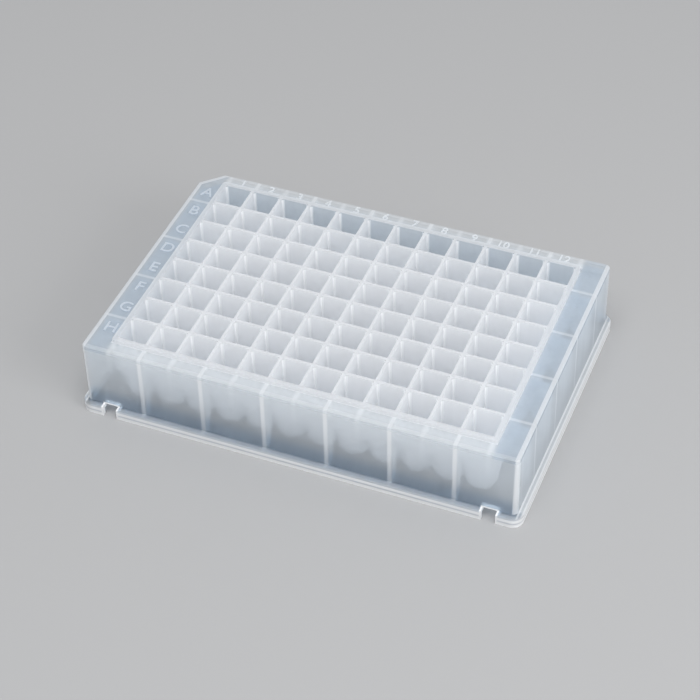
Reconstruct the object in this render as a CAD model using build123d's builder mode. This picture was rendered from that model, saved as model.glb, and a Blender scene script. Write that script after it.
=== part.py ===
"""Square-well plate: 12 x 8 round-bottomed wells in one moulded, hollow-skirted plate.

Millimetres, +Z up. The origin is the centre of the footprint, at the height of the surface
the plate stands on. Columns run along X and rows along Y; well A1 is at -X, +Y.
"""

import os
from math import radians, sqrt, tan

from build123d import *

# Overall sizes, the standard ones that plate carriers are made for
footprint_length = 127.76
footprint_width = 85.48
footprint_corner = 3.2
plate_height = 24.2

# Deck and skirt: the flat top around the wells, and the wall that hangs from its edge
deck_length = 124.5
deck_width = 82.0
deck_thickness = 1.2
deck_corner = 1.4
deck_edge_round = 0.4
corner_cut = 6.0
corner_cut_round = 1.0
skirt_wall = 1.2
skirt_draft = 0.4

# Flange at the foot of the skirt: a ledge with a lip, which the plate stands on
flange_height = 3.2
flange_edge_round = 0.3
ledge_thickness = 1.2
lip_thickness = 1.2
notch_width = 4.0
notch_spacing = 110.0

# Block of wells, which stands above the deck as a rim
rim_height = 1.0
rim_width = 1.4
rim_corner = 1.0
rim_edge_round = 0.2
block_draft = 1.5

# Wells: a square shaft, a cone that takes in its corners, and a round-bottomed tube
columns = 12
rows = 8
pitch = 9.0
well_opening = 8.2
well_corner = 0.25
well_draft = 0.6
well_depth = 22.0
tube_radius = 3.85
tube_length = 3.7
tube_draft = 0.5
tube_wall = 0.8
cone_angle = 27.0

# Ribs across the gap between the skirt and the block, at every second well boundary
rib_thickness = 0.9
rib_foot = 1.8
rib_step = 2

# Levels and widths that follow from the sizes above
deck_top = plate_height - rim_height
deck_underside = deck_top - deck_thickness
ledge_underside = flange_height - ledge_thickness
block_length = (columns - 1) * pitch + well_opening + 2 * rim_width
block_width = (rows - 1) * pitch + well_opening + 2 * rim_width
bowl_centre = plate_height - well_depth + tube_radius
tube_top = bowl_centre + tube_length
tube_slope = tan(radians(tube_draft))
cone_slope = tan(radians(cone_angle))
block_slope = tan(radians(block_draft))
skirt_slope = tan(radians(skirt_draft))

# A tube's outside bends into its cone a little lower, which keeps the wall's thickness there.
# The cones of four neighbours meet under the block, between the wells.
outer_radius = tube_radius + tube_wall
outer_tube_top = tube_top - tube_wall * tan(radians(cone_angle / 2))
block_underside = outer_tube_top + (pitch / sqrt(2) - outer_radius) / cone_slope


def skirt_outline(level, inset=0.0):
    """Outline of the skirt at a level, moved in by an inset, with its corner at A1 cut off."""
    growth = (deck_top - level) * skirt_slope - inset
    outline = Rectangle(deck_length + 2 * growth, deck_width + 2 * growth)
    corner = outline.vertices().group_by(Axis.X)[0].sort_by(Axis.Y)[-1]
    outline = chamfer(corner, corner_cut - growth * (2 - sqrt(2)))
    cut_ends = outline.edges().sort_by(SortBy.LENGTH)[0].vertices()
    outline = fillet(outline.vertices() - cut_ends, deck_corner + growth)
    cut_ends = outline.edges().filter_by(GeomType.LINE).sort_by(SortBy.LENGTH)[0].vertices()
    fillet(cut_ends, corner_cut_round)


def block_outline(level):
    """Outline of the drafted block of wells at a level under the deck."""
    shrinkage = (deck_top - level) * block_slope
    Rectangle(block_length - 2 * shrinkage, block_width - 2 * shrinkage)


def round_form(radius, bend, wide_radius):
    """Half section of a well's round form: bowl, tube and cone, carried up to the top."""
    bend_radius = radius + (bend - bowl_centre) * tube_slope
    cone_top = bend + (wide_radius - bend_radius) / cone_slope
    with BuildSketch(Plane.XZ) as section:
        with BuildLine():
            bowl = CenterArc((0, bowl_centre), radius, -90, 90)
            Polyline(bowl @ 1, (bend_radius, bend), (wide_radius, cone_top),
                     (wide_radius, plate_height), (0, plate_height), bowl @ 0)
        make_face()
    return section.sketch


def rib_pair(plane, half_deck, half_block):
    """Two facing ribs, one at each side, drawn outwards and upwards on an upright plane."""
    in_skirt = half_deck - skirt_wall / 2
    in_block = half_block - rim_width / 2
    foot = half_deck - skirt_wall - rib_foot
    with BuildPart() as ribs:
        with BuildSketch(plane):
            Polygon((in_skirt, ledge_underside), (in_skirt, deck_underside),
                    (in_block, deck_underside), (in_block, block_underside),
                    (foot, ledge_underside), align=None)
            mirror(about=Plane.YZ)
        extrude(amount=rib_thickness / 2, both=True)
    return ribs.part


with BuildPart() as cavity:
    with BuildSketch(Plane.XY.offset(plate_height)):
        RectangleRounded(well_opening, well_opening, well_corner)
    extrude(amount=-well_depth, taper=well_draft)
    revolve(round_form(tube_radius, tube_top, well_opening / sqrt(2)), axis=Axis.Z,
            mode=Mode.INTERSECT)

with BuildPart() as tube:
    revolve(round_form(outer_radius, outer_tube_top, pitch / sqrt(2)), axis=Axis.Z)
    split(bisect_by=Plane.XY.offset(deck_underside), keep=Keep.BOTTOM)

# The tubes side by side, no wider together than the drafted block, which lies on top of them
with BuildPart() as block:
    with GridLocations(pitch, pitch, columns, rows):
        add(tube.part)
    with BuildSketch():
        block_outline(0)
    extrude(amount=deck_underside, taper=-block_draft, mode=Mode.INTERSECT)
    with BuildSketch(Plane.XY.offset(block_underside)):
        block_outline(block_underside)
    extrude(amount=deck_underside - block_underside, taper=-block_draft)

long_side_ribs = rib_pair(Plane.YZ, deck_width / 2, block_width / 2)
short_side_ribs = rib_pair(Plane.XZ, deck_length / 2, block_length / 2)

with BuildPart() as well_plate:
    # Flange and skirt, drawn solid
    with BuildSketch():
        RectangleRounded(footprint_length, footprint_width, footprint_corner)
    extrude(amount=flange_height)
    fillet(well_plate.faces().sort_by(Axis.Z)[-1].edges(), flange_edge_round)
    with BuildSketch(Plane.XY.offset(flange_height)):
        skirt_outline(flange_height)
    extrude(amount=deck_top - flange_height, taper=skirt_draft)
    fillet(well_plate.faces().sort_by(Axis.Z)[-1].edges(), deck_edge_round)

    # Hollow inside the lip, and above it the hollow inside the skirt
    with BuildSketch():
        RectangleRounded(footprint_length - 2 * lip_thickness,
                         footprint_width - 2 * lip_thickness,
                         footprint_corner - lip_thickness)
    extrude(amount=ledge_underside, mode=Mode.SUBTRACT)
    with BuildSketch(Plane.XY.offset(ledge_underside)):
        skirt_outline(ledge_underside, skirt_wall)
    extrude(amount=deck_underside - ledge_underside, taper=skirt_draft, mode=Mode.SUBTRACT)

    # Notches through the flange, into the hollow
    with BuildSketch():
        with Locations((0, -footprint_width / 2)):
            with GridLocations(notch_spacing, 0, 2, 1):
                Rectangle(notch_width, footprint_width - deck_width + 2 * skirt_wall)
    extrude(amount=flange_height, mode=Mode.SUBTRACT)

    # Rim, the top of the block
    with BuildSketch(Plane.XY.offset(deck_underside)):
        RectangleRounded(block_length, block_width, rim_corner)
    extrude(amount=plate_height - deck_underside)
    fillet(well_plate.faces().sort_by(Axis.Z)[-1].edges(), rim_edge_round)

    # Ribs, block and wells
    with GridLocations(rib_step * pitch, 0, columns // rib_step, 1):
        add(long_side_ribs)
    with GridLocations(0, rib_step * pitch, 1, rows // rib_step):
        add(short_side_ribs)
    add(block.part)
    with GridLocations(pitch, pitch, columns, rows):
        add(cavity.part, mode=Mode.SUBTRACT)

os.makedirs("parts", exist_ok=True)
well_plate.part.label = "well_plate"
export_step(well_plate.part, "parts/well_plate.step")
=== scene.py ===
"""Dresses the well plate: its milky plastic, the raised letters and numbers, and the studio.

Metres, +Z up, in the frame's own coordinates. Columns run along X and rows along Y; the
first well, A1, is at -X, +Y.
"""

from functools import reduce
from math import pi, radians, sqrt
from types import SimpleNamespace

import bpy
from bpy.props import FloatProperty, FloatVectorProperty, IntProperty, PointerProperty
from mathutils import Matrix, Vector


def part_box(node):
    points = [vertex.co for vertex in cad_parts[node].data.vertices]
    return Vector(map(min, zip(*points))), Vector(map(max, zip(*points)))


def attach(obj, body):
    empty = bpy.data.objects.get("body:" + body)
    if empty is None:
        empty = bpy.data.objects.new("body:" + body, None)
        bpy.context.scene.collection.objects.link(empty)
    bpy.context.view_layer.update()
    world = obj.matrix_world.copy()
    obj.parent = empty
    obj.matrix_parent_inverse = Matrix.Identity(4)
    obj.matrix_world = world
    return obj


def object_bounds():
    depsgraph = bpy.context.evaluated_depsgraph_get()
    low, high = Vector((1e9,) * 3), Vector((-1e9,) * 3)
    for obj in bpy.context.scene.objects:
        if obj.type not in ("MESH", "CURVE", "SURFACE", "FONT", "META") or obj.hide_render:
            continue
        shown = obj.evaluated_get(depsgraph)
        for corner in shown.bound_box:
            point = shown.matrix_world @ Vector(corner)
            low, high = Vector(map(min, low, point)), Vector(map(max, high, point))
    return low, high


bl_info = {
    "name": "Well Plate",
    "version": (1, 0, 0),
    "blender": (4, 5, 0),
    "location": "View3D > Sidebar > Well Plate",
    "description": "Dresses a moulded well plate and sets its studio",
    "category": "Add Mesh",
}

MM = 0.001
PLATE = "well_plate"
MATERIAL = "milky_polypropylene"

CORNER_INSET = 0.9  # walls from the skirt's upright corner to where its whiteness starts
LOW_MIDDLE = 0.4  # share of the deck's height at which a long side is half clear
CURVE_STEPS = 6  # of a stroke's curves, between two of its points
BEVEL_STEPS = 1  # across a mark's rounded edge
WELD = 0.001 * MM  # points of a mark that are closer than this become one
STREAK_DETAIL = 3.0  # octaves of noise
GRAIN_DETAIL = 2.0
GRAIN_STRENGTH = 0.4
FLOOR_SIDES = 96
SENSOR_WIDTH = 36  # millimetres
MIX_A, MIX_B, MIX_RESULT = 6, 7, 2  # a Mix node's sockets for colours

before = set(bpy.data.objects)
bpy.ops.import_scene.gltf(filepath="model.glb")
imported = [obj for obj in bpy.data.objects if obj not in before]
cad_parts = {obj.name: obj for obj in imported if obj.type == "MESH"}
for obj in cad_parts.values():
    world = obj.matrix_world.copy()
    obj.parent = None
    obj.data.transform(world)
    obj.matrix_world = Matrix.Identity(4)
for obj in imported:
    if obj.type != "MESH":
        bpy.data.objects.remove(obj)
CAD_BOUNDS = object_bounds()
PLATE_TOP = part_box(PLATE)[1][2]


# ---------------------------------------------------------------- properties

class PlateForm(bpy.types.PropertyGroup):
    """The plate's own sizes, which place the marks and tell thick plastic from thin."""

    rows: IntProperty(
        name="Rows", description="Rows of wells, lettered from the back", default=8, min=1)
    columns: IntProperty(
        name="Columns", description="Columns of wells, numbered from the left", default=12,
        min=1)
    pitch: FloatProperty(
        name="Pitch", description="Distance between the centres of two neighbouring wells",
        default=9.0 * MM, unit="LENGTH")
    well_opening: FloatProperty(
        name="Well opening", description="Width of a well at its mouth", default=8.2 * MM,
        unit="LENGTH")
    rim_width: FloatProperty(
        name="Rim width", description="Thickness of the block's outer wall",
        default=1.4 * MM, unit="LENGTH")
    rim_height: FloatProperty(
        name="Rim height", description="How far the block of wells stands above the deck",
        default=1.0 * MM, unit="LENGTH")
    deck_length: FloatProperty(
        name="Deck length", description="Length of the deck, along the columns' numbers",
        default=124.5 * MM, unit="LENGTH")
    deck_width: FloatProperty(
        name="Deck width", description="Width of the deck, along the rows' letters",
        default=82.0 * MM, unit="LENGTH")
    corner_cut: FloatProperty(
        name="Corner cut", description="How much of the deck's corner at A1 is cut off",
        default=6.0 * MM, unit="LENGTH")
    wall: FloatProperty(
        name="Wall", description="Thickness of the skirt and of the flange's lip",
        default=1.2 * MM, unit="LENGTH")
    rib_thickness: FloatProperty(
        name="Rib thickness", description="Thickness of a rib inside the skirt",
        default=0.9 * MM, unit="LENGTH")
    notch_spacing: FloatProperty(
        name="Notch spacing", description="Distance between the two notches of the flange",
        default=110.0 * MM, unit="LENGTH")
    notch_width: FloatProperty(
        name="Notch width", description="Width of a notch in the front of the flange",
        default=4.0 * MM, unit="LENGTH")
    # Painted highlight: a rib's upper end is made whiter than its foot.
    rib_share: FloatProperty(
        name="Rib share", description="Whiteness of a rib's upper end", default=0.85,
        min=0.0, max=1.0, subtype="FACTOR")
    rib_foot_share: FloatProperty(
        name="Rib foot share", description="Whiteness of a rib's foot", default=0.35,
        min=0.0, max=1.0, subtype="FACTOR")
    wall_share: FloatProperty(
        name="Wall share", description="Whiteness of a wall between two tubes, seen end on",
        default=0.22, min=0.0, max=1.0, subtype="FACTOR")
    corner_width: FloatProperty(
        name="Corner width", description="Width of the white line down a well's corner",
        default=0.6 * MM, unit="LENGTH")
    corner_share: FloatProperty(
        name="Corner share", description="Whiteness of the line down a well's corner",
        default=0.85, min=0.0, max=1.0, subtype="FACTOR")
    top_share: FloatProperty(
        name="Top share", description="How much of the rim's look a thin wall's top has",
        default=0.4, min=0.0, max=1.0, subtype="FACTOR")
    edge_share: FloatProperty(
        name="Edge share", description="Whiteness of the edge around the deck",
        default=0.28, min=0.0, max=1.0, subtype="FACTOR")
    long_edge_share: FloatProperty(
        name="Long edge share", description="How much of a top's look a long edge has",
        default=0.35, min=0.0, max=1.0, subtype="FACTOR")
    upright_share: FloatProperty(
        name="Upright share", description="Whiteness of the skirt's corners and flange's ends",
        default=0.65, min=0.0, max=1.0, subtype="FACTOR")
    mark_share: FloatProperty(
        name="Mark share", description="Whiteness of raised marks",
        default=0.4, min=0.0, max=1.0, subtype="FACTOR")
    # Where the painted shade on a long side's foot has half faded.
    foot_line: FloatProperty(
        name="Foot line", description="Height at which a long side's foot has half faded",
        default=7.5 * MM, unit="LENGTH")
    # Painted highlight: the flange and its ledge are whitened.
    flange_share: FloatProperty(
        name="Flange share", description="Whiteness of the flange between its edges",
        default=0.6, min=0.0, max=1.0, subtype="FACTOR")
    ledge_share: FloatProperty(
        name="Ledge share", description="Whiteness of the flange's top", default=0.3,
        min=0.0, max=1.0, subtype="FACTOR")
    flange_height: FloatProperty(
        name="Flange height", description="Height of the flange's ledge above the floor",
        default=3.2 * MM, unit="LENGTH")
    edge_line: FloatProperty(
        name="Edge line", description="Width of the white line along an edge of the flange",
        default=0.55 * MM, unit="LENGTH")


class RaisedMarks(bpy.types.PropertyGroup):
    """The row letters and column numbers moulded on the deck."""

    letter_height: FloatProperty(
        name="Letter height", description="Height of a row letter", default=3.7 * MM,
        unit="LENGTH")
    letter_line: FloatProperty(
        name="Letter line", description="X of the middle of the row letters",
        default=-57.7 * MM, unit="LENGTH")
    number_height: FloatProperty(
        name="Number height", description="Height of a column number", default=2.7 * MM,
        unit="LENGTH")
    number_line: FloatProperty(
        name="Number line", description="Y of the middle of the column numbers",
        default=38.9 * MM, unit="LENGTH")
    relief: FloatProperty(
        name="Relief", description="How far a mark stands up from the deck",
        default=0.25 * MM, unit="LENGTH")
    foot: FloatProperty(
        name="Foot", description="How far a mark's foot is sunk into the deck",
        default=0.1 * MM, unit="LENGTH")
    edge_round: FloatProperty(
        name="Edge round", description="Rounding along the edges of a mark",
        default=0.06 * MM, unit="LENGTH")
    boldness: FloatProperty(
        name="Boldness", description="How far a stroke is widened on each side",
        default=0.05 * MM, unit="LENGTH")


class MilkyPlastic(bpy.types.PropertyGroup):
    """The plate's uncoloured plastic: clear and bluish where it is thin, white where thick.
    The white of end-on walls, ribs and edges is partly their thickness and partly painted
    highlight for light gathering in them.
    """

    top_colour: FloatVectorProperty(
        name="Top colour", description="Colour of the tops of walls, rim and skirt",
        subtype="COLOR", size=3, default=(0.88, 0.893, 0.912), min=0.0, max=1.0)
    well_colour: FloatVectorProperty(
        name="Well colour", description="Colour of the walls between wells",
        subtype="COLOR", size=3, default=(0.972, 0.981, 0.995), min=0.0, max=1.0)
    skirt_colour: FloatVectorProperty(
        name="Skirt colour", description="Colour of the single walls: deck, skirt and flange",
        subtype="COLOR", size=3, default=(0.895, 0.932, 0.968), min=0.0, max=1.0)
    # Painted highlight, partly: end-on walls, ribs, corners and edges take this near-white
    # colour for their thickness and for light gathering in them.
    edge_highlight_colour: FloatVectorProperty(
        name="Edge colour", description="Colour where a wall or rib is seen end on",
        subtype="COLOR", size=3, default=(0.97, 0.98, 0.99), min=0.0, max=1.0)
    # Painted shade: this dark bluish tint darkens what is seen through the inside of the
    # block's back wall, standing in for the dark beyond it.
    rim_shade_tint: FloatVectorProperty(
        name="Rim tint", description="Tint of what is seen through the block's outer wall",
        subtype="COLOR", size=3, default=(0.66, 0.72, 0.78), min=0.0, max=1.0)
    well_tint: FloatVectorProperty(
        name="Well tint", description="Tint of what is seen through a wall between wells",
        subtype="COLOR", size=3, default=(0.985, 0.992, 1.0), min=0.0, max=1.0)
    skirt_tint: FloatVectorProperty(
        name="Skirt tint", description="Tint of what is seen through a single wall",
        subtype="COLOR", size=3, default=(0.97, 0.975, 0.975), min=0.0, max=1.0)
    # Painted shade: this dark bluish tint darkens what is seen through a long side's foot and
    # the deck's ends, standing in for the shade under the plate.
    foot_shade_tint: FloatVectorProperty(
        name="Foot tint", description="Tint of what is seen through a long side's foot",
        subtype="COLOR", size=3, default=(0.685, 0.762, 0.842), min=0.0, max=1.0)
    well_clearness: FloatProperty(
        name="Well clearness", description="Share of light straight through a well's surface",
        default=0.34, min=0.0, max=1.0, subtype="FACTOR")
    skirt_clearness: FloatProperty(
        name="Skirt clearness", description="Share of light straight through a single wall",
        default=0.62, min=0.0, max=1.0, subtype="FACTOR")
    end_clearness: FloatProperty(
        name="End clearness", description="Share of light straight through a short side",
        default=0.5, min=0.0, max=1.0, subtype="FACTOR")
    low_clearness: FloatProperty(
        name="Low clearness", description="Share of light straight through a long side's foot",
        default=0.85, min=0.0, max=1.0, subtype="FACTOR")
    # Share of the foot's painted shade that the deck's ends take.
    deck_shade_share: FloatProperty(
        name="Deck tint share", description="How much of the foot's tint the deck's ends have",
        default=0.7, min=0.0, max=1.0, subtype="FACTOR")
    top_clearness: FloatProperty(
        name="Top clearness", description="Share of light straight through a wall's top",
        default=0.4, min=0.0, max=1.0, subtype="FACTOR")
    deck_clearness: FloatProperty(
        name="Deck clearness", description="Share of light straight through the deck",
        default=0.66, min=0.0, max=1.0, subtype="FACTOR")
    edge_clearness: FloatProperty(
        name="Edge clearness", description="Share of light straight through an end-on wall",
        default=0.05, min=0.0, max=1.0, subtype="FACTOR")
    edge_glow: FloatProperty(
        name="Edge glow", description="Share of the rest scattered through an end-on wall",
        default=0.2, min=0.0, max=1.0, subtype="FACTOR")
    glow: FloatProperty(
        name="Glow", description="Share of the rest that is scattered through the surface",
        default=0.6, min=0.0, max=1.0, subtype="FACTOR")
    frost_share: FloatProperty(
        name="Frost share", description="Share of the clear light a long side blurs",
        default=0.7, min=0.0, max=1.0, subtype="FACTOR")
    frost_roughness: FloatProperty(
        name="Frost roughness", description="How far a long side blurs what is behind it",
        default=0.36, min=0.0, max=1.0, subtype="FACTOR")
    frost_bend: FloatProperty(
        name="Frost bend", description="Refractive index of the blur, near 1 to stay straight",
        default=1.02, min=1.0)
    blur: FloatProperty(
        name="Blur", description="Width over which thick plastic fades into thin",
        default=0.15 * MM, unit="LENGTH")
    roughness: FloatProperty(
        name="Roughness", description="Roughness of the satin mould finish", default=0.32,
        min=0.0, max=1.0, subtype="FACTOR")
    bend: FloatProperty(
        name="Bend", description="Refractive index, which sets how strong the gloss is",
        default=1.49, min=1.0)
    streak_size: FloatProperty(
        name="Streak size", description="Width of the faint upright streaks in the plastic",
        default=3.0 * MM, unit="LENGTH")
    streak_stretch: FloatProperty(
        name="Streak stretch", description="A streak's width over its height", default=0.2,
        min=0.0, max=1.0)
    streak_depth: FloatProperty(
        name="Streak depth", description="How much a streak takes from the clearness",
        default=0.08, min=0.0, max=1.0, subtype="FACTOR")
    grain_size: FloatProperty(
        name="Grain size", description="Size of the fine grain of the mould's surface",
        default=0.5 * MM, unit="LENGTH")
    grain_depth: FloatProperty(
        name="Grain depth", description="Depth of the fine grain of the mould's surface",
        default=0.006 * MM, unit="LENGTH")


class Studio(bpy.types.PropertyGroup):
    """The floor, the lamps and the camera."""

    floor_colour: FloatVectorProperty(
        name="Floor colour", description="Colour of the floor", subtype="COLOR", size=3,
        default=(0.37, 0.373, 0.38), min=0.0, max=1.0)
    floor_roughness: FloatProperty(
        name="Floor roughness", description="Roughness of the floor", default=0.7, min=0.0,
        max=1.0, subtype="FACTOR")
    floor_radius: FloatProperty(
        name="Floor radius", description="Radius of the round floor", default=3.0,
        unit="LENGTH")
    world_strength: FloatProperty(
        name="World strength", description="Brightness of the plain surroundings",
        default=0.62, min=0.0)
    key_power: FloatProperty(
        name="Key power", description="Power of the large lamp above", default=11.0,
        min=0.0)
    key_size: FloatProperty(
        name="Key size", description="Side of the large lamp", default=0.9, unit="LENGTH")
    key_place: FloatVectorProperty(
        name="Key place", description="Middle of the large lamp", size=3,
        subtype="TRANSLATION", unit="LENGTH", default=(0.1, -0.4, 1.25))
    fill_power: FloatProperty(
        name="Fill power", description="Power of the lamp low on the right", default=3.3,
        min=0.0)
    fill_size: FloatProperty(
        name="Fill size", description="Side of the low lamp", default=0.5, unit="LENGTH")
    fill_place: FloatVectorProperty(
        name="Fill place", description="Middle of the low lamp", size=3,
        subtype="TRANSLATION", unit="LENGTH", default=(0.75, -0.25, 0.4))
    azimuth: FloatProperty(
        name="Azimuth", description="Camera's direction around the plate, from the front",
        default=radians(22.73), subtype="ANGLE")
    elevation: FloatProperty(
        name="Elevation", description="Camera's height above the horizontal",
        default=radians(42.72), subtype="ANGLE")
    roll: FloatProperty(
        name="Roll", description="Camera's turn about its own line of sight",
        default=radians(-1.49), subtype="ANGLE")
    distance: FloatProperty(
        name="Distance", description="From the camera to the point it looks at",
        default=538.4 * MM, unit="LENGTH")
    target: FloatVectorProperty(
        name="Target", description="The point the camera looks at", size=3,
        subtype="TRANSLATION", unit="LENGTH",
        default=(7.08 * MM, -18.22 * MM, PLATE_TOP))
    lens: FloatProperty(
        name="Lens", description="Focal length, in millimetres", default=103.4, min=1.0)


# ------------------------------------------------------------------- helpers

def new_material(name):
    """An empty node material, and the node tree that is to be filled."""
    material = bpy.data.materials.new(name)
    material.use_nodes = True
    tree = material.node_tree
    tree.nodes.clear()
    return material, tree


def add_node(tree, kind, **values):
    """A node with its input sockets set by name."""
    node = tree.nodes.new(kind)
    for socket, value in values.items():
        node.inputs[socket.replace("_", " ")].default_value = value
    return node


class Field:
    """A number that varies over the surface, worked out by Math nodes."""

    def __init__(self, tree, socket):
        self.tree, self.socket = tree, socket

    def feed(self, target):
        self.tree.links.new(self.socket, target)

    def math(self, operation, *others):
        node = self.tree.nodes.new("ShaderNodeMath")
        node.operation = operation
        self.feed(node.inputs[0])
        for socket, other in zip(node.inputs[1:], others):
            if isinstance(other, Field):
                other.feed(socket)
            else:
                socket.default_value = other
        return Field(self.tree, node.outputs[0])

    def __add__(self, other):
        return self.math("ADD", other)

    def __sub__(self, other):
        return self.math("SUBTRACT", other)

    def __mul__(self, other):
        return self.math("MULTIPLY", other)

    def size(self):
        """The number without its sign."""
        return self.math("ABSOLUTE")

    def both(self, other):
        return self.math("MINIMUM", other)

    def either(self, other):
        return self.math("MAXIMUM", other)

    def wrapped(self, centre, period):
        """Distance from the nearest of the places that lie a period apart."""
        return (self - centre).math("WRAP", -period / 2, period / 2).size()

    def above(self, level, blur):
        """0 below a level and 1 above it, with a smooth change between."""
        node = add_node(self.tree, "ShaderNodeMapRange")
        node.interpolation_type = "SMOOTHSTEP"
        node.inputs["From Min"].default_value = level - blur
        node.inputs["From Max"].default_value = level + blur
        self.feed(node.inputs["Value"])
        return Field(self.tree, node.outputs["Result"])

    def below(self, level, blur):
        return self.above(level, blur) * -1 + 1

    def blend(self, low, high):
        """A number between two others, by this share."""
        if isinstance(low, Field) or isinstance(high, Field):
            node = self.tree.nodes.new("ShaderNodeMix")
            self.feed(node.inputs["Factor"])
            for name, end in (("A", low), ("B", high)):
                if isinstance(end, Field):
                    end.feed(node.inputs[name])
                else:
                    node.inputs[name].default_value = end
            return Field(self.tree, node.outputs["Result"])
        return self * (high - low) + low

    def tinted(self, low, high):
        """A colour between two others, by this share. Each is a colour or such a blend."""
        node = self.tree.nodes.new("ShaderNodeMix")
        node.data_type = "RGBA"
        self.feed(node.inputs["Factor"])
        for socket, end in ((node.inputs[MIX_A], low), (node.inputs[MIX_B], high)):
            if isinstance(end, Field):
                end.feed(socket)
            else:
                socket.default_value = (*end, 1)
        return Field(self.tree, node.outputs[MIX_RESULT])


def all_of(*fields):
    """The least of some fields: where they all hold."""
    return reduce(Field.both, fields)


def any_of(*fields):
    """The greatest of some fields: where at least one of them holds."""
    return reduce(Field.either, fields)


def plate_places(tree, place, form, blur):
    """Shares from 0 to 1 that tell the plate's places apart, and the numbers they need.

    beside_block, before_block, off_block: beyond the block's ends, its long sides, or both
    deck, flange, skirt_top: the deck, the base flange, and the edge around the deck
    inside_rim: the inside of the block's back wall
    tops: the tops of walls and of the skirt
    end, face: a short side of the skirt, and a long one
    foot, low: a long side's foot, and how low it is on that side
    """
    axes = tree.nodes.new("ShaderNodeSeparateXYZ")
    tree.links.new(place, axes.inputs["Vector"])
    x, y, z = (Field(tree, axes.outputs[name]) for name in "XYZ")
    from_x, from_y = x.size(), y.size()
    half_x, half_y = form.deck_length / 2, form.deck_width / 2
    wells_x = ((form.columns - 1) * form.pitch + form.well_opening) / 2
    wells_y = ((form.rows - 1) * form.pitch + form.well_opening) / 2
    half_rim = form.rim_width / 2
    deck_top = PLATE_TOP - form.rim_height
    cut_line = half_x + half_y - form.corner_cut - form.wall * sqrt(2)
    low_middle = LOW_MIDDLE * deck_top

    beside_block = from_x.above(wells_x + form.rim_width + blur, blur)
    before_block = from_y.above(wells_y + form.rim_width + blur, blur)
    off_block = any_of(beside_block, before_block)
    deck = all_of(off_block, z.above(deck_top - form.wall - blur, blur))
    off_deck = deck * -1 + 1
    flange = any_of(from_x.above(half_x + form.wall / 2, blur),
                    from_y.above(half_y + form.wall / 2, blur))
    upper_well = z.above(PLATE_TOP / 2, form.pitch / 4)
    inside_rim = all_of(
        y.above(wells_y - 2 * blur, blur), y.below(wells_y + half_rim, blur),
        upper_well, z.below(PLATE_TOP - 2 * blur, blur))
    skirt_top = all_of(
        z.above(deck_top - 2 * blur, blur),
        any_of(from_x.above(half_x - form.wall, blur),
               from_y.above(half_y - form.wall, blur) * form.long_edge_share,
               (y - x).above(cut_line, blur)))
    between_wells = all_of(from_x.below(wells_x, blur), from_y.below(wells_y, blur))
    block_top = z.above(PLATE_TOP - blur, blur) * between_wells.blend(1.0, form.top_share)
    face = all_of(from_y.above(half_y - form.wall - blur, blur), off_deck)
    return SimpleNamespace(
        x=x, y=y, z=z, from_x=from_x, from_y=from_y, half_x=half_x, half_y=half_y,
        wells_x=wells_x, wells_y=wells_y, half_rim=half_rim, deck_top=deck_top,
        beside_block=beside_block, before_block=before_block, off_block=off_block,
        deck=deck, flange=flange, skirt_top=skirt_top, upper_well=upper_well,
        inside_rim=inside_rim, tops=any_of(block_top, skirt_top), face=face,
        end=all_of(from_x.above(half_x - form.wall - blur, blur), off_deck),
        foot=all_of(face, z.below(form.foot_line, form.foot_line / 3)),
        low=all_of(face, z.below(low_middle, low_middle)))


def block_whiteness_and_highlight(where, form, blur):
    """How white the ribs, the walls between tubes and the wells' corners are, end on: partly
    their thickness, partly painted highlight for light gathering in them.
    """
    x, y, z = where.x, where.y, where.z
    half_rib = form.rib_thickness / 2
    long_ribs = all_of(
        x.wrapped(form.pitch, 2 * form.pitch).below(half_rib + blur, 2 * blur),
        where.before_block)
    short_ribs = all_of(
        y.wrapped(form.pitch, 2 * form.pitch).below(half_rib, 2 * blur),
        where.beside_block)
    # Painted highlight: a rib is whiter at its upper end, where light is led into it from the
    # block, than at its foot.
    rib_height = z.above(where.deck_top / 2, where.deck_top / 2)
    ribs = (any_of(long_ribs, short_ribs)
            * rib_height.blend(form.rib_foot_share, form.rib_share)
            * any_of(where.deck, where.beside_block).blend(1.0, form.mark_share))

    quarter = where.deck_top / 4
    walls = all_of(x.wrapped(0, form.pitch).below(where.half_rim, 4 * blur),
                   where.before_block) * z.above(3 * quarter, quarter)

    # Painted highlight, partly: a white line down each well's corner.
    half_pitch = form.pitch / 2
    half_gap = form.well_opening / 2 - form.corner_width
    corners = all_of(
        x.wrapped(half_pitch, form.pitch).both(
            y.wrapped(half_pitch, form.pitch)).above(half_gap, 2 * blur),
        where.upper_well, z.below(PLATE_TOP - 4 * blur, 2 * blur),
        where.from_x.below(where.wells_x + where.half_rim, blur),
        where.from_y.below(where.wells_y + where.half_rim, blur))
    return any_of(ribs, walls * form.wall_share, corners * form.corner_share)


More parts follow.
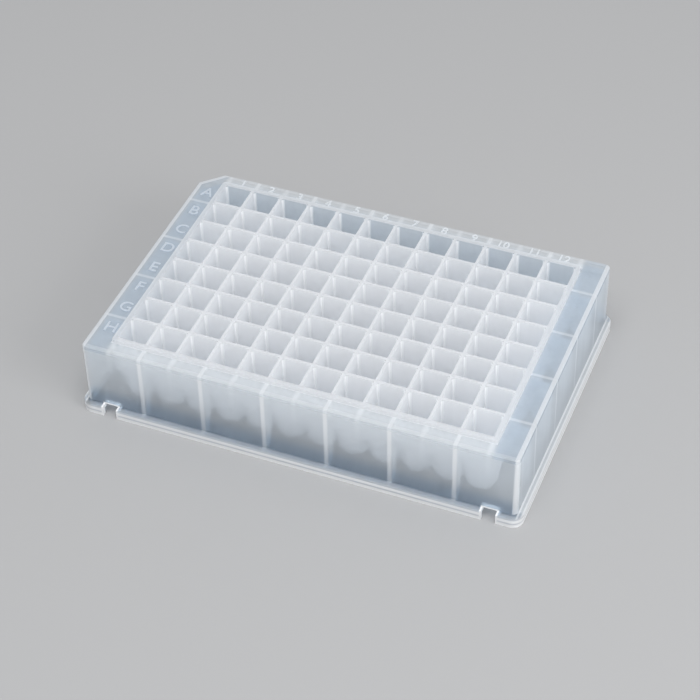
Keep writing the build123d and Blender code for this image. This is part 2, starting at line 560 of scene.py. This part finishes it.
def edge_whiteness_and_highlight(where, form, blur):
    """How white the edges of skirt and flange, the notches and the raised marks are: partly
    their thickness, partly painted highlight for light gathering along them.
    """
    y, z, from_x = where.y, where.z, where.from_x
    corner_line = where.half_x + where.half_y - CORNER_INSET * form.wall
    skirt_corners = all_of((from_x + where.from_y).above(corner_line, blur),
                           z.above(form.flange_height + blur, blur))

    # Painted highlight: white lines along the flange's ledge and foot, and a whitened flange,
    # for light gathering in its edges.
    ledge = (z - (form.flange_height - form.wall)).size().below(form.edge_line, blur)
    flange_foot = z.below(2 * form.edge_line, blur)
    inner_edge = all_of(
        from_x.above(where.half_x, blur),
        from_x.below(where.half_x + form.edge_line, blur),
        (z - form.flange_height).size().below(form.edge_line, blur))
    ends = any_of(from_x.above(CAD_BOUNDS[1][0] - form.edge_line, blur), inner_edge)
    on_ledge = z.above(form.flange_height - blur, blur)
    flange = where.flange * on_ledge.blend(form.flange_share, form.ledge_share)

    notches = all_of(
        (from_x - form.notch_spacing / 2).size().below(
            form.notch_width / 2 + form.edge_line, blur),
        y.below(form.wall - where.half_y, blur),
        z.below(form.flange_height + form.edge_line, blur))
    marks = all_of(z.above(where.deck_top + blur / 2, blur / 2), where.off_block)
    return any_of(
        where.skirt_top * form.edge_share, skirt_corners * form.upright_share, flange,
        all_of(where.flange, any_of(ledge, flange_foot)), ends * form.upright_share,
        notches, marks * form.mark_share)


def noise(tree, vector, size, detail):
    """Soft noise with grains of about one size, from 0 to 1."""
    node = add_node(tree, "ShaderNodeTexNoise", Scale=1 / size, Detail=detail)
    tree.links.new(vector, node.inputs["Vector"])
    return Field(tree, node.outputs["Fac"])


def mixed(share, low, high):
    """A shader between two others, by a share."""
    node = share.tree.nodes.new("ShaderNodeMixShader")
    share.feed(node.inputs[0])
    for socket, shader in zip(node.inputs[1:], (low, high)):
        share.tree.links.new(shader.outputs[0], socket)
    return node


def milky_plastic(look, form):
    """Satin, translucent plastic: part mirror, part milk, part clear."""
    material, tree = new_material(MATERIAL)
    place = tree.nodes.new("ShaderNodeTexCoord").outputs["Object"]
    where = plate_places(tree, place, form, look.blur)
    single_wall = any_of(where.off_block, where.inside_rim)
    # Painted highlight, partly: end-on and thick places are made whiter and nearly opaque.
    end_on_and_highlight = any_of(block_whiteness_and_highlight(where, form, look.blur), edge_whiteness_and_highlight(where, form, look.blur))

    upright = add_node(tree, "ShaderNodeMapping", Scale=(1, 1, look.streak_stretch))
    tree.links.new(place, upright.inputs["Vector"])
    streaks = noise(tree, upright.outputs["Vector"], look.streak_size, STREAK_DETAIL).blend(
        1 - look.streak_depth, 1 + look.streak_depth)
    clearness = single_wall.blend(look.well_clearness, look.skirt_clearness)
    clearness = where.end.blend(clearness, look.end_clearness)
    clearness = where.low.blend(clearness, look.low_clearness)
    clearness = where.deck.blend(clearness, look.deck_clearness)
    clearness = where.tops.blend(clearness, look.top_clearness) * streaks
    clearness = end_on_and_highlight.blend(clearness, look.edge_clearness)

    colour = single_wall.tinted(look.well_colour, look.skirt_colour)
    colour = where.tops.tinted(colour, look.top_colour)
    colour = end_on_and_highlight.tinted(colour, look.edge_highlight_colour)
    # Painted shade: a long side's foot and the deck's ends darken what is seen through them.
    deck_end_shade = where.deck.both(where.beside_block) * look.deck_shade_share
    tint = where.off_block.tinted(look.well_tint, look.skirt_tint)
    tint = any_of(where.foot, deck_end_shade).tinted(tint, look.foot_shade_tint)
    # Painted shade on the inside of the block's back wall.
    tint = where.inside_rim.tinted(tint, look.rim_shade_tint)

    bump = add_node(tree, "ShaderNodeBump", Strength=GRAIN_STRENGTH, Distance=look.grain_depth)
    noise(tree, place, look.grain_size, GRAIN_DETAIL).feed(bump.inputs["Height"])
    body = add_node(tree, "ShaderNodeBsdfPrincipled", Roughness=look.roughness, IOR=look.bend)
    tree.links.new(bump.outputs["Normal"], body.inputs["Normal"])
    glow = tree.nodes.new("ShaderNodeBsdfTranslucent")
    clear = tree.nodes.new("ShaderNodeBsdfTransparent")
    frost = add_node(tree, "ShaderNodeBsdfRefraction", Roughness=look.frost_roughness,
                     IOR=look.frost_bend)
    colour.feed(body.inputs["Base Color"])
    colour.feed(glow.inputs["Color"])
    tint.feed(clear.inputs["Color"])
    tint.feed(frost.inputs["Color"])
    milk = mixed(end_on_and_highlight.blend(look.glow, look.edge_glow), body, glow)
    haze = mixed(where.face * look.frost_share, clear, frost)
    out = tree.nodes.new("ShaderNodeOutputMaterial")
    tree.links.new(mixed(clearness, milk, haze).outputs["Shader"], out.inputs["Surface"])
    return material


def plate_plastic():
    """The plate's one material, made when it is first asked for."""
    scene = bpy.context.scene
    return bpy.data.materials.get(MATERIAL) or milky_plastic(
        scene.plate_plastic, scene.plate_form)


def dress(piece, material):
    """Gives every slot of a piece one material."""
    if not piece.material_slots:
        piece.data.materials.append(material)
    for slot in piece.material_slots:
        slot.material = material


def raised_mark(text, height, centre, marks, deck_top):
    """One raised character or number, upright towards +Y, as a mesh on the deck."""
    bpy.ops.object.select_all(action="DESELECT")
    bpy.ops.object.text_add(location=(0, 0, 0))
    mark = bpy.context.object
    curve = mark.data
    curve.body = text
    curve.resolution_u = CURVE_STEPS
    bpy.context.view_layer.update()
    curve.size = curve.size * height / mark.dimensions.y
    curve.extrude = (marks.relief + marks.foot) / 2 - marks.edge_round
    curve.bevel_depth = marks.edge_round
    curve.offset = marks.boldness - marks.edge_round
    curve.bevel_resolution = BEVEL_STEPS
    bpy.ops.object.convert(target="MESH")
    mark = bpy.context.object
    bpy.context.view_layer.update()
    corners = [Vector(corner) for corner in mark.bound_box]
    middle = sum(corners, Vector()) / len(corners)
    mark.location = (centre[0] - middle.x, centre[1] - middle.y,
                     deck_top + (marks.relief - marks.foot) / 2)
    bpy.ops.object.transform_apply(location=True, rotation=True, scale=True)
    return mark


def joined_marks(name, marks):
    """Joins raised marks into one clean piece with outward faces, on the plate's body."""
    bpy.ops.object.select_all(action="DESELECT")
    for mark in marks:
        mark.select_set(True)
    bpy.context.view_layer.objects.active = marks[0]
    bpy.ops.object.join()
    piece = bpy.context.object
    piece.name = piece.data.name = name
    bpy.ops.object.mode_set(mode="EDIT")
    bpy.ops.mesh.select_all(action="SELECT")
    bpy.ops.mesh.remove_doubles(threshold=WELD)
    bpy.ops.mesh.normals_make_consistent(inside=False)
    bpy.ops.object.mode_set(mode="OBJECT")
    dress(piece, plate_plastic())
    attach(piece, "root")


def area_lamp(name, power, size, place):
    """A square, soft lamp that looks at the middle of the floor."""
    bpy.ops.object.light_add(type="AREA", location=place)
    lamp = bpy.context.object
    lamp.name = name
    lamp.data.shape = "SQUARE"
    lamp.data.size = size
    lamp.data.energy = power
    lamp.rotation_euler = (-Vector(place)).to_track_quat("-Z", "Y").to_euler()


# ----------------------------------------------------------------- operators

class WELLPLATE_OT_plastic(bpy.types.Operator):
    """Give the moulded plate its milky plastic"""

    bl_idname = "wellplate.plastic"
    bl_label = "Milky plastic"

    def execute(self, context):
        dress(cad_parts[PLATE], plate_plastic())
        return {"FINISHED"}


class WELLPLATE_OT_row_letters(bpy.types.Operator):
    """Raise a letter at the left end of each row"""

    bl_idname = "wellplate.row_letters"
    bl_label = "Row letters"

    def execute(self, context):
        form = context.scene.plate_form
        marks = context.scene.plate_marks
        deck_top = PLATE_TOP - form.rim_height
        first_row = (form.rows - 1) / 2 * form.pitch
        joined_marks("row_letters", [
            raised_mark(chr(ord("A") + row), marks.letter_height,
                        (marks.letter_line, first_row - row * form.pitch), marks, deck_top)
            for row in range(form.rows)])
        return {"FINISHED"}


class WELLPLATE_OT_column_numbers(bpy.types.Operator):
    """Raise a number at the back end of each column"""

    bl_idname = "wellplate.column_numbers"
    bl_label = "Column numbers"

    def execute(self, context):
        form = context.scene.plate_form
        marks = context.scene.plate_marks
        deck_top = PLATE_TOP - form.rim_height
        first_column = -(form.columns - 1) / 2 * form.pitch
        joined_marks("column_numbers", [
            raised_mark(str(column + 1), marks.number_height,
                        (first_column + column * form.pitch, marks.number_line), marks,
                        deck_top)
            for column in range(form.columns)])
        return {"FINISHED"}


class WELLPLATE_OT_studio(bpy.types.Operator):
    """Set the pale floor, the soft lamps and the camera"""

    bl_idname = "wellplate.studio"
    bl_label = "Studio"

    def execute(self, context):
        studio = context.scene.plate_studio
        bpy.ops.object.select_all(action="DESELECT")
        bpy.ops.mesh.primitive_circle_add(
            vertices=FLOOR_SIDES, radius=studio.floor_radius, fill_type="NGON",
            location=(0, 0, 0))
        floor = context.object
        floor.name = "floor"
        material, tree = new_material("pale_floor")
        paint = add_node(tree, "ShaderNodeBsdfPrincipled", Roughness=studio.floor_roughness,
                         Base_Color=(*studio.floor_colour, 1))
        out = tree.nodes.new("ShaderNodeOutputMaterial")
        tree.links.new(paint.outputs["BSDF"], out.inputs["Surface"])
        dress(floor, material)

        world = bpy.data.worlds.new("studio")
        world.use_nodes = True
        sky = world.node_tree.nodes["Background"]
        sky.inputs["Color"].default_value = (1, 1, 1, 1)
        sky.inputs["Strength"].default_value = studio.world_strength
        context.scene.world = world

        area_lamp("key_lamp", studio.key_power, studio.key_size, studio.key_place)
        area_lamp("fill_lamp", studio.fill_power, studio.fill_size, studio.fill_place)

        turn = (Matrix.Rotation(studio.azimuth, 3, "Z")
                @ Matrix.Rotation(pi / 2 - studio.elevation, 3, "X")
                @ Matrix.Rotation(studio.roll, 3, "Z"))
        back = turn @ Vector((0, 0, 1))
        bpy.ops.object.camera_add(location=Vector(studio.target) + studio.distance * back,
                                  rotation=turn.to_euler())
        camera = context.object
        camera.name = "camera"
        camera.data.lens = studio.lens
        camera.data.sensor_width = SENSOR_WIDTH
        context.scene.camera = camera
        context.scene.view_settings.view_transform = "Standard"
        return {"FINISHED"}


class WELLPLATE_PT_panel(bpy.types.Panel):
    """Lists the steps and the sizes"""

    bl_idname = "WELLPLATE_PT_panel"
    bl_label = "Well Plate"
    bl_space_type = "VIEW_3D"
    bl_region_type = "UI"
    bl_category = "Well Plate"

    def draw(self, context):
        for step in STEPS:
            self.layout.operator(step.bl_idname)
        for name, group in GROUPS.items():
            box = self.layout.box()
            for field in group.__annotations__:
                box.prop(getattr(context.scene, name), field)


GROUPS = {
    "plate_form": PlateForm,
    "plate_marks": RaisedMarks,
    "plate_plastic": MilkyPlastic,
    "plate_studio": Studio,
}
STEPS = (WELLPLATE_OT_plastic, WELLPLATE_OT_row_letters, WELLPLATE_OT_column_numbers,
         WELLPLATE_OT_studio)


def register():
    for item in (*GROUPS.values(), *STEPS, WELLPLATE_PT_panel):
        bpy.utils.register_class(item)
    for name, group in GROUPS.items():
        setattr(bpy.types.Scene, name, PointerProperty(type=group))


def unregister():
    for name in GROUPS:
        delattr(bpy.types.Scene, name)
    for item in reversed((*GROUPS.values(), *STEPS, WELLPLATE_PT_panel)):
        bpy.utils.unregister_class(item)


def main():
    register()
    bpy.ops.wellplate.plastic()
    bpy.ops.wellplate.row_letters()
    bpy.ops.wellplate.column_numbers()
    bpy.ops.wellplate.studio()


if __name__ == "__main__":
    main()
